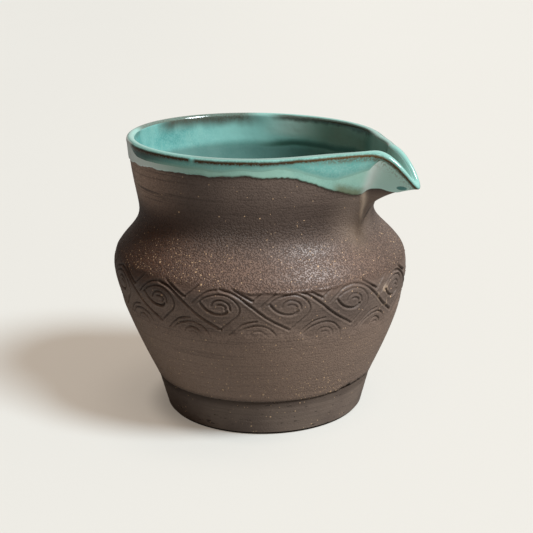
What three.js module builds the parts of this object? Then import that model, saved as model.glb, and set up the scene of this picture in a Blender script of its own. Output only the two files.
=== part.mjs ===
// Small stoneware pouring pitcher: a thrown wall with a rolled belly, a waisted neck and a pulled
// beak, standing on a turned foot, glazed inside and dipped twice at the rim.
// Millimetres, +Z up. The origin is the middle of the foot's flat underside, the beak points to +X.
import * as THREE from 'three';

// Foot: a turned clay disc with a flat underside and a dished top that is the floor of the pot.
const footHeight = 13;
const footStep = 0.3;
const footTaper = 4;
const footEdgeBevel = 0.9;
const floorThickness = 8;
const floorDishWidth = 6.5;
const floorCornerInset = 1.6;
const seamGap = 0.3;

// Outside of the thrown wall, from the foot up to the lip.
const seatRadius = 37.5;
const seatFlare = 3.6;
const seatFlareHeight = 7.7;
const bellyRadius = 50;
const bellyHeight = 51.5;
const bellyEaseBelow = 11.5;
const bellyEaseAbove = 8;
const neckRadius = 39.8;
const neckHeight = 70;
const neckEaseBelow = 7.5;
const neckEaseAbove = 4;
const lipRadius = 43.7;
const lipHeight = 93.6;
const lipLean = 0.5;
const lipEase = 10;

// Wall thickness, square to the wall.
const wallAtSeat = 6;
const wallAtBelly = 4;
const wallAtNeck = 3;
const wallAtLip = 2;

// The hand-thrown wall leans a little from foot to lip. The collar is squeezed across the beak, so
// that it is oval, and its lip rises beside the beak.
const leanBack = 2.3;
const leanAside = 1.6;
const leanStart = 25;
const collarSqueeze = 0.117;
const collarSqueezeStart = 61;
const collarRise = 1;
const collarRiseAngle = 45;

// Beak: a broad throat that swells out of the collar, and a narrow channel drawn out of the throat.
const throatReach = 8.4;
const throatHalfAngle = 18.9;
const throatStart = 60;
const beakReach = 11;
const beakChannelHalfWidth = 2.9;
const beakStart = 74;
const beakDroop = 11;
const beakCurl = 1.5;
const droopTaper = 1.6;
const beakFloorRise = 0.9;
const beakThinning = 0.25;
const beakThinningAngle = 12;

// Glaze coats and the hair of room under each of them.
const coatGap = 0.12;
const linerCoat = 0.45;
const firstCoat = 0.35;
const secondCoat = 0.3;
const firstCoatDrop = 5.8;
const firstCoatSag = 8.2;
const firstCoatSagAngle = 12;
const firstCoatSagSpread = 18;
const firstCoatKeelLift = 2.8;
const firstCoatKeelSpread = 6;
const secondCoatDrop = 3.7;
const secondCoatSag = 4.3;
const secondCoatSagAngle = 23;
const secondCoatSagSpread = 13;
const secondCoatBeakDrop = 1.8;
const secondCoatBeakAngle = 8.5;
const secondCoatBeakFade = 2;
const firstCoatLipEnd = 150;
const secondCoatLipEnd = 50;
const linerLipEnd = 163;

// Facets: columns round the pot, drawn together at the beak, and rows along each stretch of wall.
const columns = 60;
const columnCrowding = 0.8;
const rowsBelow = 4;
const rowsShoulder = 5;
const rowsBareCollar = 3;
const rowsFirstCoat = 2;
const rowsSecondCoat = 2;
const rowsLip = 4;
const rowsDish = 2;
const collarShareSteps = 30;

const wallFoot = footHeight + seamGap;
const footTopRadius = seatRadius - footStep;
const footBaseRadius = footTopRadius - footTaper;
const beakRootRadius = lipRadius + throatReach;

const degrees = THREE.MathUtils.degToRad;
const ease = (value, low, high) => THREE.MathUtils.smoothstep(value, low, high);
const bell = (angle, halfAngle) => Math.exp(-((angle / halfAngle) ** 2));
const signedTurn = (turn) => THREE.MathUtils.euclideanModulo(turn + Math.PI, 2 * Math.PI) - Math.PI;

// The outside of the wall in section, as three curves that meet at the belly and at the neck.
const sectionPoint = (radius, height) => new THREE.Vector2(radius, height);
const lowerWall = new THREE.CubicBezierCurve(
  sectionPoint(seatRadius, wallFoot),
  sectionPoint(seatRadius + seatFlare, wallFoot + seatFlareHeight),
  sectionPoint(bellyRadius, bellyHeight - bellyEaseBelow),
  sectionPoint(bellyRadius, bellyHeight),
);
const shoulder = new THREE.CubicBezierCurve(
  sectionPoint(bellyRadius, bellyHeight),
  sectionPoint(bellyRadius, bellyHeight + bellyEaseAbove),
  sectionPoint(neckRadius, neckHeight - neckEaseBelow),
  sectionPoint(neckRadius, neckHeight),
);
const lipCentreHeight = lipHeight - wallAtLip / 2;
const collar = new THREE.CubicBezierCurve(
  sectionPoint(neckRadius, neckHeight),
  sectionPoint(neckRadius, neckHeight + neckEaseAbove),
  sectionPoint(lipRadius - lipLean, lipCentreHeight - lipEase),
  sectionPoint(lipRadius, lipCentreHeight),
);

function wallThickness(height) {
  if (height < bellyHeight) {
    return THREE.MathUtils.mapLinear(height, wallFoot, bellyHeight, wallAtSeat, wallAtBelly);
  }
  if (height < neckHeight) {
    return THREE.MathUtils.mapLinear(height, bellyHeight, neckHeight, wallAtBelly, wallAtNeck);
  }
  return THREE.MathUtils.mapLinear(height, neckHeight, lipCentreHeight, wallAtNeck, wallAtLip);
}

// A point of the section at a depth into the wall, measured square to the outside face.
function inWall(curve, along, depth) {
  const outside = curve.getPoint(along);
  const direction = curve.getTangent(along);
  return {
    radius: outside.x - depth * direction.y,
    height: outside.y + depth * direction.x,
    depth,
  };
}

// How far each coat hangs below the lip. Both sag on either side of the beak: the first coat is drawn
// up again under the beak, and the second one stops at the beak's root and only edges its lip.
function firstCoatHang(angle) {
  const sag = bell(Math.abs(angle) - degrees(firstCoatSagAngle), degrees(firstCoatSagSpread));
  return firstCoatDrop + firstCoatSag * sag - firstCoatKeelLift * bell(angle, degrees(firstCoatKeelSpread));
}

function secondCoatHang(angle) {
  const sag = bell(Math.abs(angle) - degrees(secondCoatSagAngle), degrees(secondCoatSagSpread));
  const root = degrees(secondCoatBeakAngle);
  const fade = degrees(secondCoatBeakFade);
  const onCollar = ease(Math.abs(angle), root - fade, root + fade);
  return THREE.MathUtils.lerp(secondCoatBeakDrop, secondCoatDrop + secondCoatSag * sag, onCollar);
}

// The share of the collar's curve at which it reaches a height.
function collarShare(height) {
  let low = 0;
  let high = 1;
  for (let step = 0; step < collarShareSteps; step += 1) {
    const middle = (low + high) / 2;
    if (collar.getPoint(middle).y < height) {
      low = middle;
    } else {
      high = middle;
    }
  }
  return (low + high) / 2;
}

function evenSteps(from, to, count) {
  return Array.from({ length: count }, (_, step) => THREE.MathUtils.lerp(from, to, (step + 1) / count));
}

// Rows up the collar, which follow the lower edges of both coats so that all pieces bend alike.
function collarRows(turn) {
  const firstEdge = collarShare(lipHeight - firstCoatHang(signedTurn(turn)));
  const secondEdge = collarShare(lipHeight - secondCoatHang(signedTurn(turn)));
  return {
    bare: evenSteps(0, firstEdge, rowsBareCollar),
    first: evenSteps(firstEdge, secondEdge, rowsFirstCoat),
    second: evenSteps(secondEdge, 1, rowsSecondCoat),
  };
}

// Both faces of the wall, from the foot up to the lip. Lift stands a row off its face.
function wallRows(turn, pointAt) {
  const { bare, first, second } = collarRows(turn);
  return [
    ...[0, ...evenSteps(0, 1, rowsBelow)].map((along) => pointAt(lowerWall, along)),
    ...evenSteps(0, 1, rowsShoulder).map((along) => pointAt(shoulder, along)),
    ...[...bare, ...first, ...second].map((along) => pointAt(collar, along)),
  ];
}

function outsideFace(turn) {
  return wallRows(turn, (curve, along) => inWall(curve, along, 0));
}

function insideFace(turn, lift) {
  return wallRows(turn, (curve, along) => {
    const thickness = wallThickness(curve.getPoint(along).y);
    return inWall(curve, along, thickness + lift);
  });
}

// The rounded lip, from one angle round it to another.
const lipOutsideEdge = 0;
const lipInsideEdge = 180;
function lipArc(fromAngle, toAngle, lift, count) {
  const rows = [];
  const half = wallAtLip / 2;
  for (let row = 0; row <= count; row += 1) {
    const turn = degrees(THREE.MathUtils.lerp(fromAngle, toAngle, row / count));
    const across = (half + lift) * Math.cos(turn);
    rows.push({
      radius: lipRadius - half + across,
      height: lipCentreHeight + (half + lift) * Math.sin(turn),
      depth: half - across,
    });
  }
  return rows;
}

// Where a point of the turned section ends up once the collar is set back and squeezed, and the
// beak is drawn out. The beak is wider outside than its channel by the wall it is drawn from.
function drawnOut(point, turn) {
  const angle = signedTurn(turn);
  const thinned = point.depth * beakThinning * bell(angle, degrees(beakThinningAngle));
  const drawn = Math.max(0, (point.height - beakStart) / (lipHeight - beakStart)) ** beakCurl;
  const throat = ease(point.height, throatStart, lipHeight) * bell(angle, degrees(throatHalfAngle));
  const channelHalfWidth = beakChannelHalfWidth + wallAtLip - point.depth + thinned;
  const channel = bell(angle, channelHalfWidth / beakRootRadius);
  const raised = point.depth * beakFloorRise * channel * drawn;
  const radius = point.radius + thinned * drawn
    + throatReach * throat + beakReach * channel * drawn;
  const squeeze = 1 - collarSqueeze * ease(point.height, collarSqueezeStart, lipHeight);
  const lean = ease(point.height, leanStart, lipHeight);
  const rise = collarRise * ease(point.height, neckHeight, lipHeight)
    * bell(angle, degrees(collarRiseAngle));
  return new THREE.Vector3(
    radius * Math.cos(angle) - leanBack * lean,
    radius * Math.sin(angle) * squeeze - leanAside * lean,
    point.height + rise + raised - beakDroop * channel ** droopTaper * drawn,
  );
}

// Columns crowd together at the beak, where the wall bends most.
function columnTurn(column) {
  const even = (column / columns) * 2 * Math.PI;
  return even - columnCrowding * Math.sin(even);
}

// Four-cornered facets are split along the shorter diagonal, so skins that lie together bend alike.
function splitFacets(position, rowCount) {
  const corner = (index) => new THREE.Vector3().fromBufferAttribute(position, index);
  const triangles = [];
  for (let column = 0; column < columns; column += 1) {
    for (let row = 0; row < rowCount - 1; row += 1) {
      const a = column * rowCount + row;
      const b = a + rowCount;
      const c = b + 1;
      const d = a + 1;
      const rising = corner(a).distanceTo(corner(c)) < corner(b).distanceTo(corner(d));
      triangles.push(...(rising ? [a, b, c, a, c, d] : [a, b, d, c, d, b]));
    }
  }
  return triangles;
}

// A piece turned from a closed section, which may change from column to column.
function turnedPiece(sectionAt) {
  const rows = sectionAt(0);
  const outline = rows.map((point) => sectionPoint(point.radius, point.height));
  const geometry = new THREE.LatheGeometry(outline, columns);
  const position = geometry.attributes.position;
  for (let column = 0; column <= columns; column += 1) {
    const turn = columnTurn(column);
    sectionAt(turn).forEach((point, row) => {
      const place = drawnOut(point, turn);
      position.setXYZ(column * rows.length + row, place.x, place.y, place.z);
    });
  }
  geometry.setIndex(splitFacets(position, rows.length));
  geometry.computeVertexNormals();
  return geometry;
}

function closedSection(...stretches) {
  const section = stretches.flat();
  return [...section, section[0]];
}

// The dish of the floor, from the wall's inside foot to the middle, standing off by a lift.
function floorDish(lift) {
  const rows = [];
  const rim = insideFace(0, lift)[0];
  const floor = floorThickness + lift;
  const bowl = new THREE.QuadraticBezierCurve(
    sectionPoint(rim.radius, rim.height),
    sectionPoint(rim.radius - floorCornerInset, floor),
    sectionPoint(rim.radius - floorDishWidth, floor),
  );
  for (let row = 1; row <= rowsDish; row += 1) {
    const place = bowl.getPoint(row / rowsDish);
    rows.push({ radius: place.x, height: place.y, depth: wallAtSeat });
  }
  rows.push({ radius: 0, height: floor, depth: wallAtSeat });
  return rows;
}

function bodyWall() {
  const lip = lipArc(lipOutsideEdge, lipInsideEdge, 0, rowsLip).slice(1, -1);
  return turnedPiece((turn) => closedSection(outsideFace(turn), lip, insideFace(turn, 0).reverse()));
}

function footDisc() {
  const seat = insideFace(0, 0)[0];
  const rows = [
    { radius: 0, height: 0, depth: 0 },
    { radius: footBaseRadius - footEdgeBevel, height: 0, depth: 0 },
    { radius: footBaseRadius, height: footEdgeBevel, depth: 0 },
    { radius: footTopRadius, height: footHeight, depth: 0 },
    { radius: seat.radius, height: footHeight, depth: 0 },
    ...floorDish(0),
  ];
  return turnedPiece(() => rows);
}

function linerGlaze() {
  const face = (turn, lift) => [
    ...floorDish(lift).reverse(),
    ...insideFace(turn, lift),
    ...lipArc(lipInsideEdge, linerLipEnd, lift, 1).slice(1),
  ];
  return turnedPiece((turn) => [
    ...face(turn, coatGap),
    ...face(turn, coatGap + linerCoat).reverse(),
  ]);
}

// A coat on the outside of the collar: its rows, then round the lip, and back along its underside.
function rimCoat(rowsAt, lipEnd, under, thickness) {
  const face = (turn, lift) => [
    ...rowsAt(turn).slice(0, -1).map((along) => inWall(collar, along, -lift)),
    ...lipArc(lipOutsideEdge, lipEnd, lift, rowsLip),
  ];
  return turnedPiece((turn) => closedSection(
    face(turn, under + thickness),
    face(turn, under).reverse(),
  ));
}

function rimGlazeFirst() {
  const rowsAt = (turn) => {
    const { bare, first, second } = collarRows(turn);
    return [bare.at(-1), ...first, ...second];
  };
  return rimCoat(rowsAt, firstCoatLipEnd, coatGap, firstCoat);
}

function rimGlazeSecond() {
  const rowsAt = (turn) => {
    const { first, second } = collarRows(turn);
    return [first.at(-1), ...second];
  };
  return rimCoat(rowsAt, secondCoatLipEnd, coatGap + firstCoat + coatGap, secondCoat);
}

function finish(colour, roughness) {
  return new THREE.MeshStandardMaterial({ color: colour, roughness, metalness: 0 });
}

function piece(name, geometry, material) {
  const mesh = new THREE.Mesh(geometry, material);
  mesh.name = name;
  return mesh;
}

const bareClay = finish(0x51463f, 0.85);
const footClay = finish(0x453b36, 0.88);
const deepGlaze = finish(0x4f9c98, 0.2);
const paleGlaze = finish(0x93c9bd, 0.28);
const rimGlaze = finish(0x5bb3ab, 0.22);

const pitcher = new THREE.Group();
pitcher.add(piece('foot_disc', footDisc(), footClay));
pitcher.add(piece('body_wall', bodyWall(), bareClay));
pitcher.add(piece('liner_glaze', linerGlaze(), deepGlaze));
pitcher.add(piece('rim_glaze_first_coat', rimGlazeFirst(), paleGlaze));
pitcher.add(piece('rim_glaze_second_coat', rimGlazeSecond(), rimGlaze));

export default pitcher;
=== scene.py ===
from math import cos, pi, radians, sin, sqrt

import bpy
import numpy as np
from mathutils import Matrix, Vector


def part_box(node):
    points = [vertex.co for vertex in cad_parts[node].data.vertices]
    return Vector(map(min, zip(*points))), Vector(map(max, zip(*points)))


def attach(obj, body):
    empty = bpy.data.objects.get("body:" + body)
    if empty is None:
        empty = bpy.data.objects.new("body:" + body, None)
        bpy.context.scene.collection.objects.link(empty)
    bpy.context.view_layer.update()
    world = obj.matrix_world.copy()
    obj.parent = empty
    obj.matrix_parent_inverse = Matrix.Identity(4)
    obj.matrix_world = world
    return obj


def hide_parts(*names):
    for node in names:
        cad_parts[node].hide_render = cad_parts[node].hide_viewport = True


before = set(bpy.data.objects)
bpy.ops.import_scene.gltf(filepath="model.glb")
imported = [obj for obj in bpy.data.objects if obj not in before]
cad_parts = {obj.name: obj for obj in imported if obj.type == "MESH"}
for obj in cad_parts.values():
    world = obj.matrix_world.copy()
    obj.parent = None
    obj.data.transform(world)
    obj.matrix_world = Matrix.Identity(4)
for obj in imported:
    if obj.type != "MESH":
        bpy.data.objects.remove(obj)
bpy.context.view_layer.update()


# Foot disc: the turned base of dark stoneware that the wall stands on, left bare.
# It was trimmed on the wheel, so fine lines run round it, its lower edge is undercut, and its dished
# top is the floor of the pot under the glaze.
mm = 0.001
foot_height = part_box("foot_disc")[1].z
foot_top_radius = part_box("foot_disc")[1].x
foot_taper = 3.4 * mm
foot_bevel = 0.3 * mm
foot_undercut = 0.55 * mm
foot_undercut_height = 0.7 * mm
foot_top_ease = 1.7 * mm
foot_top_inset = 0.5 * mm
foot_line_depth = 0.015 * mm
floor_thickness = 8 * mm
floor_dish_width = 6.5 * mm
floor_corner_inset = 1.6 * mm
wall_at_seat = 6 * mm
seat_radius = 37.5 * mm
foot_columns = 360
foot_bevel_rows = 5
foot_side_rows = 34
foot_top_rows = 9
foot_floor_rows = 4


def paint(code):
    """A colour written as 0xRRGGBB, in the linear values that a shader takes."""
    channels = [(code >> shift & 255) / 255 for shift in (16, 8, 0)]
    return (*[((c + 0.055) / 1.055) ** 2.4 if c > 0.04045 else c / 12.92 for c in channels], 1)


def feed(slot, value):
    """Puts a field, a node's first output, a socket or a plain value into a slot."""
    if isinstance(value, Field):
        value = value.socket
    if isinstance(value, bpy.types.Node):
        value = value.outputs[0]
    if isinstance(value, bpy.types.NodeSocket):
        slot.id_data.links.new(value, slot)
    else:
        slot.default_value = value


def feed_all(node, inputs):
    for name, value in inputs.items():
        feed(node.inputs[name], value)


def add_node(tree, kind, inputs=None, **settings):
    made = tree.nodes.new(kind)
    for name, value in settings.items():
        setattr(made, name, value)
    feed_all(made, inputs or {})
    return made


class Field:
    """A number that varies over a surface. Sums written with it become Math nodes of its tree."""

    def __init__(self, socket):
        self.socket = socket
        self.tree = socket.id_data

    def math(self, operation, *others):
        made = add_node(self.tree, "ShaderNodeMath", operation=operation)
        feed_all(made, dict(enumerate((self, *others))))
        return Field(made.outputs[0])

    def __add__(self, other):
        return self.math("ADD", other)

    def __sub__(self, other):
        return self.math("SUBTRACT", other)

    def __mul__(self, other):
        return self.math("MULTIPLY", other)

    def __truediv__(self, other):
        return self.math("DIVIDE", other)

    def __pow__(self, other):
        return self.math("POWER", other)

    def __neg__(self):
        return self * -1

    def __rsub__(self, other):
        return -self + other

    __radd__ = __add__
    __rmul__ = __mul__

    def bell(self, half_width):
        return (-((self / half_width) ** 2)).math("EXPONENT")

    def ease(self, low, high):
        made = add_node(self.tree, "ShaderNodeMapRange", interpolation_type="SMOOTHSTEP")
        feed_all(made, dict(enumerate((self, low, high))))
        return Field(made.outputs[0])

    def most(self, other):
        return self.math("MAXIMUM", other)

    def least(self, other):
        return self.math("MINIMUM", other)


def node_group(name, kind, inputs, outputs):
    """A node group with named inputs and outputs, its input fields and the node that takes its results."""
    tree = bpy.data.node_groups.new(name, kind)
    for way, labels in (("INPUT", inputs), ("OUTPUT", outputs)):
        for label, value in labels.items():
            tree.interface.new_socket(label, in_out=way, socket_type="NodeSocket" + value)
    entry = tree.nodes.new("NodeGroupInput")
    fields = {label: Field(entry.outputs[label]) for label in inputs}
    return tree, fields, tree.nodes.new("NodeGroupOutput")


def effect(group, inputs):
    """A shared effect placed in one material with its own values. Its outputs come back as fields."""
    used = add_node(inputs["Place"].id_data, "ShaderNodeGroup", inputs, node_tree=group)
    return [Field(output) for output in used.outputs]


def axes_of(place):
    flat = add_node(place.id_data, "ShaderNodeSeparateXYZ", {0: place})
    return [Field(flat.outputs[axis]) for axis in "XYZ"]


def noise(place, scale=1.0, detail=2.0):
    made = add_node(place.id_data, "ShaderNodeTexNoise", {"Vector": place, "Scale": scale, "Detail": detail})
    return Field(made.outputs[0])


def measured(place, *lengths):
    """The same place counted in lengths of so many millimetres along its axes, to stretch marks one way."""
    scale = [1 / (length * mm) for length in lengths]
    return add_node(place.id_data, "ShaderNodeMapping", {"Vector": place, "Scale": scale}).outputs[0]


def mixed(share, first, second):
    made = add_node(share.tree, "ShaderNodeMix", {0: share, 6: first, 7: second}, data_type="RGBA")
    return made.outputs[2]


def painted(ground, *coats):
    """A ground with colours over it, each laid where and as strongly as its share says."""
    for share, code in coats:
        ground = mixed(share, ground, paint(code))
    return ground


def new_material(name):
    """An empty material, its tree, its shader and its own coordinates."""
    made = bpy.data.materials.new(name)
    made.use_nodes = True
    tree = made.node_tree
    place = tree.nodes.new("ShaderNodeTexCoord").outputs["Object"]
    return made, tree, tree.nodes["Principled BSDF"], place


def dress(shader, colour, roughness, relief):
    """Gives a shader the colour, the roughness and the relief in millimetres that vary over its piece."""
    raised = {"Height": relief, "Strength": 1.0, "Distance": 1 * mm}
    bump = add_node(shader.id_data, "ShaderNodeBump", raised)
    feed_all(shader, {"Base Color": colour, "Roughness": roughness, "Normal": bump})


def speckled(place, spacing, share, smallest, spread):
    """Round specks of mixed sizes, one in some of the cells of a given spacing."""
    cells = add_node(place.id_data, "ShaderNodeTexVoronoi", {"Vector": place, "Scale": 1 / spacing})
    chance = add_node(place.id_data, "ShaderNodeSeparateColor", {"Color": cells.outputs["Color"]})
    chosen = Field(chance.outputs[0]).math("LESS_THAN", share)
    reach = Field(chance.outputs[1]) ** 2 * spread + smallest
    return Field(cells.outputs["Distance"]).ease(reach, reach * 0.5) * chosen


def grogged_clay():
    """Pale grog in dark clay: its specks, the grain that it raises, and slow mottling of the body."""
    tree, given, result = node_group(
        "grogged_clay",
        "ShaderNodeTree",
        {"Place": "Vector", "Speck Share": "Float"},
        {"Specks": "Float", "Grain": "Float", "Mottle": "Float"},
    )
    place = given["Place"].socket
    share = given["Speck Share"]
    large = speckled(place, 2.0 * mm, share, smallest=0.1, spread=0.13)
    small = speckled(place, 0.95 * mm, share * 1.2 + 0.03, smallest=0.19, spread=0.14)
    pebbles = add_node(tree, "ShaderNodeTexVoronoi", {"Vector": place, "Scale": 1 / (0.58 * mm)})
    fine = noise(place, 1 / (0.5 * mm), detail=3.0)
    feed_all(result, {
        "Specks": large.most(small * 0.75),
        "Grain": fine * 1.3 - Field(pebbles.outputs["Distance"]) * 0.6,
        "Mottle": noise(place, 1 / (18 * mm), detail=5.0),
    })
    return tree


clay_group = grogged_clay()


def turning_lines():
    """Lines that tool and fingers leave round a turned piece."""
    tree, given, result = node_group(
        "turning_lines", "ShaderNodeTree", {"Place": "Vector", "Line Height": "Float"}, {"Lines": "Float"}
    )
    rise = given["Line Height"] ** -1
    along = rise * 0.02
    scale = add_node(tree, "ShaderNodeCombineXYZ", {"X": along, "Y": along, "Z": rise})
    spun = add_node(
        tree, "ShaderNodeVectorMath", {0: given["Place"], 1: scale}, operation="MULTIPLY"
    )
    feed(result.inputs["Lines"], noise(spun.outputs[0], detail=3.0))
    return tree


line_group = turning_lines()


def span(ring, part, parts):
    """The points of a ring along one of its equal parts, both ends included; a pole is one point."""
    step = len(ring) // parts
    if step == 0:
        return [ring[0]]
    return [ring[(part * step + point) % len(ring)] for point in range(step + 1)]


def faces_between(lower, upper):
    """Faces from one ring to the next. One of them may be finer than the other, or a pole."""
    counts = (len(lower), len(upper))
    parts = max(counts) if 1 in counts else min(counts)
    return [span(lower, part, parts) + span(upper, part, parts)[::-1] for part in range(parts)]


def in_scene(name, data):
    made = bpy.data.objects.new(name, data)
    bpy.context.scene.collection.objects.link(made)
    return made


def turned_piece(name, rings, loop=False):
    """A piece turned from rings of points. A ring has radius, height, count and crowding, and more
    values are kept on its points as attributes. A loop joins the last ring to the first."""
    points, faces, runs, kept = [], [], [], {}
    for ring in rings:
        even = np.arange(ring["count"]) * 2 * pi / ring["count"]
        angle = even - ring.get("crowding", 0) * np.sin(even)
        values = {key: np.broadcast_to(value, even.shape) for key, value in ring.items()}
        flat = values["radius"] * np.cos(angle), values["radius"] * np.sin(angle), values["height"]
        runs.append(range(len(points), len(points) + ring["count"]))
        points.extend(np.stack(flat, 1).tolist())
        for key in values.keys() - {"radius", "height", "count", "crowding"}:
            kept.setdefault(key, []).append(values[key])
    for lower, upper in zip(runs, runs[1:] + runs[:1] if loop else runs[1:]):
        faces.extend(faces_between(lower, upper))
    mesh = bpy.data.meshes.new(name)
    mesh.from_pydata(points, [], faces)
    for key, values in kept.items():
        mesh.attributes.new(key, "FLOAT", "POINT").data.foreach_set("value", np.concatenate(values))
    mesh.polygons.foreach_set("use_smooth", [True] * len(faces))
    return in_scene(name, mesh)


def floor_rings(lift, count, rows):
    """The dished floor from the wall's inside foot to the middle, standing off the clay by a lift."""
    rim_radius = seat_radius - wall_at_seat - lift
    floor = floor_thickness + lift
    rings = []
    for along in np.linspace(0, 1, rows + 1)[1:]:
        back = 1 - along
        corner = 2 * back * along
        radius = rim_radius - corner * floor_corner_inset - along**2 * floor_dish_width
        height = back**2 * foot_height + (corner + along**2) * floor
        rings.append({"radius": radius, "height": height, "count": count})
    return [*rings, {"radius": 0, "height": floor, "count": 1}]


def foot_side(rise):
    """Radius of the foot's side at a height, with its trimming lines."""
    line = sin(rise / mm * 2.9) + sin(rise / mm * 1.3 + 1) - 2
    return foot_top_radius - foot_taper * (1 - rise / foot_height) + foot_line_depth * line


def foot_rings():
    """From the middle of the underside up the undercut, the bevel and the side to the top and the floor."""
    outline = [(foot_side(rise) - foot_undercut, rise) for rise in (0, foot_undercut_height)]
    for turn in np.radians(np.linspace(-90, 0, foot_bevel_rows)):
        rise = foot_undercut_height + foot_bevel * (1 + sin(turn))
        outline.append((foot_side(rise) - foot_bevel * (1 - cos(turn)), rise))
    side_foot = foot_undercut_height + foot_bevel
    for rise in np.linspace(side_foot, foot_height - foot_top_ease, foot_side_rows)[1:]:
        outline.append((foot_side(rise), rise))
    for turn in np.radians(np.linspace(0, 90, foot_top_rows))[1:]:
        rise = foot_height - foot_top_ease * (1 - sin(turn))
        outline.append((foot_side(rise) - foot_top_inset * (1 - cos(turn)), rise))
    outline.append((seat_radius - wall_at_seat, foot_height))
    rings = [{"radius": radius, "height": rise, "count": foot_columns} for radius, rise in outline]
    return [{"radius": 0, "height": 0, "count": 1}, *rings, *floor_rings(0, foot_columns, foot_floor_rows)]


def foot_clay():
    """Bare stoneware, a little greyer and smoother than the wall, with trimming lines and small pits, and
    painted shade under the seam and in the undercut.
    """
    made, _, shader, place = new_material("foot_clay")
    rise = axes_of(place)[2]
    specks, grain, mottle = effect(clay_group, {"Place": place, "Speck Share": 0.1})
    (streaks,) = effect(line_group, {"Place": place, "Line Height": 0.7 * mm})
    pits = noise(measured(place, 3, 3, 0.7)).ease(0.65, 0.73)
    # Painted shade: the top of the foot, under the wall's overhang, is painted darker.
    shaded_under_seam = rise.ease(foot_height - 3.6 * mm, foot_height - 0.6 * mm)
    # Painted shade: the undercut at the bottom of the foot is painted near black for the dark gap under it.
    shaded_recess = rise.ease(0.95 * mm, foot_undercut_height)
    colour = painted(
        mixed(mottle.ease(0.35, 0.65), paint(0x66574E), paint(0x75655A)),
        (streaks.ease(0.45, 0.3) * 0.35, 0x524840),
        (pits * 0.8, 0x2E2621),
        (shaded_under_seam * 0.5, 0x2B211B),
        (specks * 0.85, 0xD8B48E),
        (shaded_recess * 0.95, 0x100C0A),
    )
    shader.inputs["Specular IOR Level"].default_value = 0.13
    dress(shader, colour, streaks * 0.12 + 0.5, grain * 0.05 + streaks * 0.05 + specks * 0.03 - pits * 0.12)
    return made


foot = turned_piece("foot_disc_turned", foot_rings())
foot.data.materials.append(foot_clay())
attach(foot, "root")
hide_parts("foot_disc")


# Body wall: one wall of the same stoneware, thrown on the wheel, waisted at the neck and left bare.
# A scroll stamp was rolled round the belly while it turned, and then the soft collar was squeezed
# oval and its lip pulled out into a beak.
seam_gap = 0.3 * mm
wall_foot = foot_height + seam_gap
seat_flare = 3.6 * mm
seat_flare_height = 7.7 * mm
seat_ease = 0.8 * mm
seat_roll = 0.12 * mm
seat_ease_steps = np.array((0, 0.03, 0.1, 0.22, 0.4, 0.65, 1))
seam_rest = 0.03 * mm
crack_opening = 1.1 * mm
crack_most = 0.75 * mm
crack_angle = radians(-3)
crack_spread = radians(13)
belly_radius = 50 * mm
belly_height = 51.5 * mm
belly_ease_below = 11.5 * mm
belly_ease_above = 8 * mm
neck_radius = 39.8 * mm
neck_height = 70 * mm
neck_ease_below = 7.5 * mm
neck_ease_above = 4 * mm
lip_radius = 43.7 * mm
lip_height = 93.6 * mm
lip_lean = 0.5 * mm
lip_ease = 10 * mm
wall_at_belly = 4 * mm
wall_at_neck = 3 * mm
wall_at_lip = 2 * mm
lip_centre = lip_height - wall_at_lip / 2
curve_steps = 400
wall_columns = 280
rows_below_band = 14
rows_above_band = 26
lip_turns = np.radians((45, 90, 135))
inside_rises = (
    lip_centre, 84 * mm, 76 * mm, neck_height, 62 * mm, 56 * mm, belly_height, 34 * mm, wall_foot
)
band_columns = 1120
band_low = 35.5 * mm
band_high = 57.2 * mm
band_row = 0.29 * mm
beak_crowding = 0.6


def cubic(*points):
    """Places and directions along a cubic curve."""
    p = np.array(points)
    t = np.linspace(0, 1, curve_steps)[:, None]
    u = 1 - t
    place = u**3 * p[0] + 3 * u * u * t * p[1] + 3 * u * t * t * p[2] + t**3 * p[3]
    way = u * u * (p[1] - p[0]) + 2 * u * t * (p[2] - p[1]) + t * t * (p[3] - p[2])
    return np.hstack([place, way / np.linalg.norm(way, axis=1, keepdims=True)])


section = np.vstack([
    cubic(
        (seat_radius, wall_foot),
        (seat_radius + seat_flare, wall_foot + seat_flare_height),
        (belly_radius, belly_height - belly_ease_below),
        (belly_radius, belly_height),
    ),
    cubic(
        (belly_radius, belly_height),
        (belly_radius, belly_height + belly_ease_above),
        (neck_radius, neck_height - neck_ease_below),
        (neck_radius, neck_height),
    ),
    cubic(
        (neck_radius, neck_height),
        (neck_radius, neck_height + neck_ease_above),
        (lip_radius - lip_lean, lip_centre - lip_ease),
        (lip_radius, lip_centre),
    ),
])


def in_wall(rise, depth):
    """Radius, height and depth of the wall's section where its outside has a height, at a depth inside."""
    radius, way_out, way_up = (np.interp(rise, section[:, 1], section[:, k]) for k in (0, 2, 3))
    return {"radius": radius - depth * way_up, "height": rise + depth * way_out, "depth": depth}


def wall_thickness(rise):
    heights = (wall_foot, belly_height, neck_height, lip_centre)
    return np.interp(rise, heights, (wall_at_seat, wall_at_belly, wall_at_neck, wall_at_lip))


def on_lip(turn, lift):
    """A point round the lip: a turn of 0 is its outside edge, 180 degrees its inside edge."""
    half = wall_at_lip / 2
    across = (half + lift) * np.cos(turn)
    return {
        "radius": lip_radius - half + across,
        "height": lip_centre + (half + lift) * np.sin(turn),
        "depth": half - across,
    }


def bell(angle, half_width):
    return np.exp(-((angle / half_width) ** 2))


def ease(value, low, high):
    share = np.clip((value - low) / (high - low), 0, 1)
    return share * share * (3 - 2 * share)


def wander(angle, waves, seed):
    """A slow wander round the pot, between about -1 and 1, as a hand gives it."""
    draw = np.random.default_rng(seed)
    phases = draw.uniform(0, 2 * pi, waves)
    strengths = draw.uniform(0.4, 1, waves) / np.sqrt(waves)
    turns = np.arange(1, waves + 1)
    return sum(s * np.sin(t * angle + p) for s, t, p in zip(strengths, turns, phases))


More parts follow.
